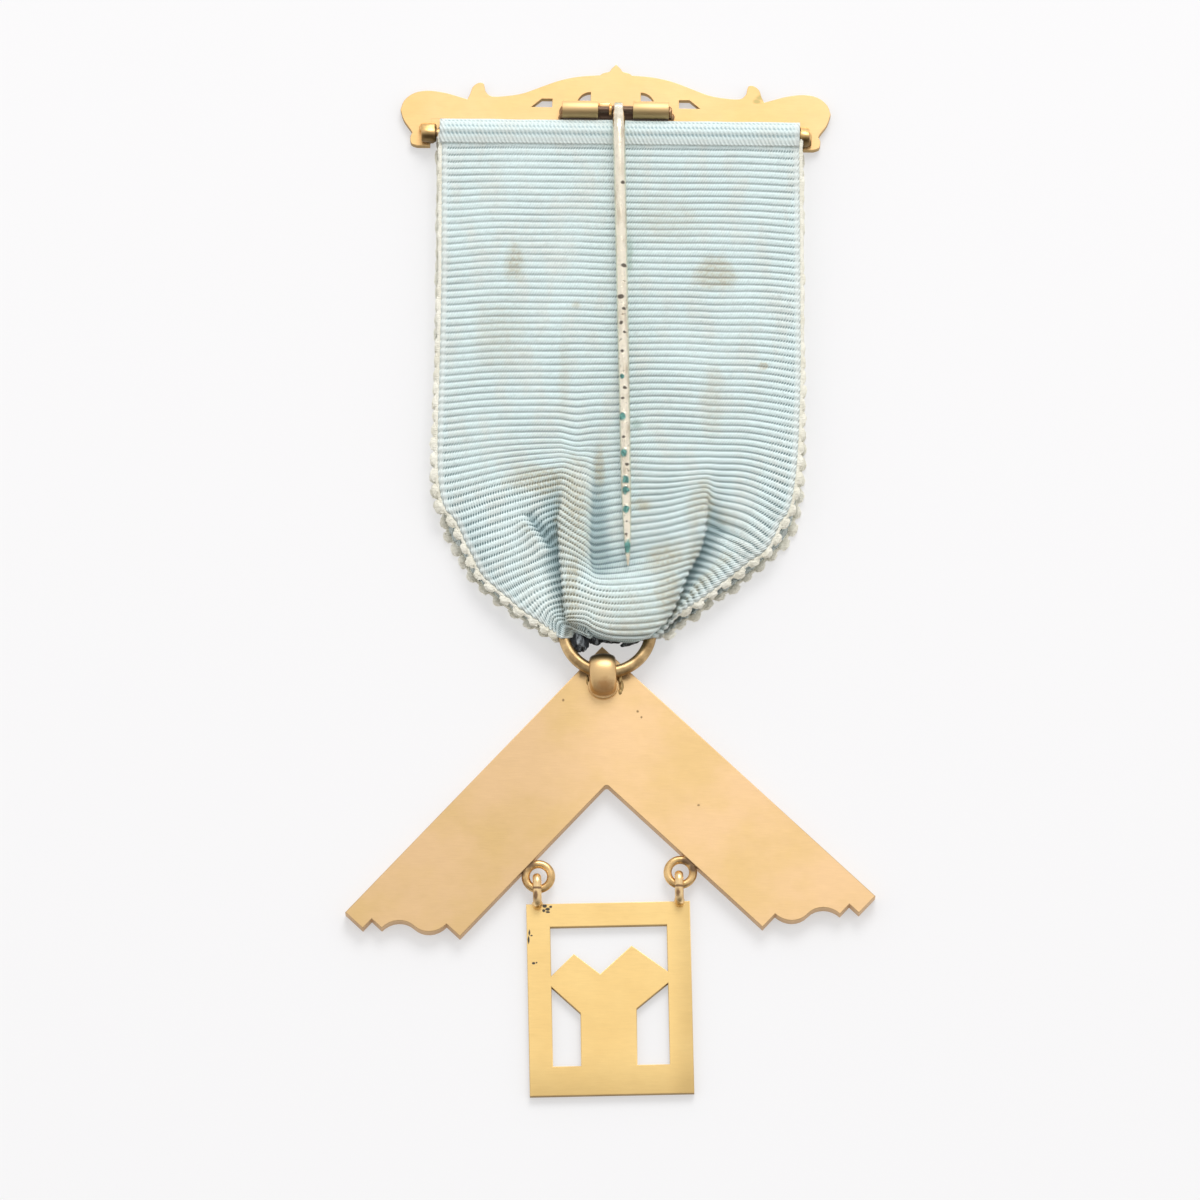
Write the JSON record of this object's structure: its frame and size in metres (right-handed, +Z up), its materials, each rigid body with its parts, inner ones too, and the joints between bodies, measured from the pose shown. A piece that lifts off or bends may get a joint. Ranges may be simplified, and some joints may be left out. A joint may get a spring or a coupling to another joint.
{
  "type": "masonic breast jewel",
  "caption": "Gold breast jewel lying face down: scroll bar with brooch pin, pleated ribbon loop, ring, set square with stepped leg ends, and a pierced hanging plate.",
  "frame": {"origin": "on the surface that the jewel lies on, under the middle of the brooch pin's hinge", "axes": "+X along the top bar to its right as seen from the back, +Y from the pendant towards the top bar, +Z up out of the surface, on the pin's side"},
  "size_m": [0.0537, 0.1088, 0.0045],
  "materials": {
    "bar_gold": "satin yellow gold",
    "pin_steel": "worn white metal with verdigris spots",
    "ribbed_ribbon": "pale blue ribbed ribbon, stained",
    "ring_gold": "aged brown gold",
    "square_gold": "satin rose gold",
    "plate_gold": "satin yellow gold with a few dark spots"
  },
  "bodies": {
    "root": {"top_bar": "bar_gold", "hinge_rivet": "bar_gold", "ribbon_rod": "bar_gold", "ribbon": "ribbed_ribbon", "suspension_ring": "ring_gold", "square": "square_gold", "plate": "plate_gold"},
    "pin": {"brooch_pin": "pin_steel"}
  },
  "joints": [
    {"name": "pin_hinge", "type": "hinge", "parent": "root", "child": "pin", "pos_m": [0, 0, 0.0023], "axis": [-1, 0, 0], "range_deg": [0, 100]}
  ]
}
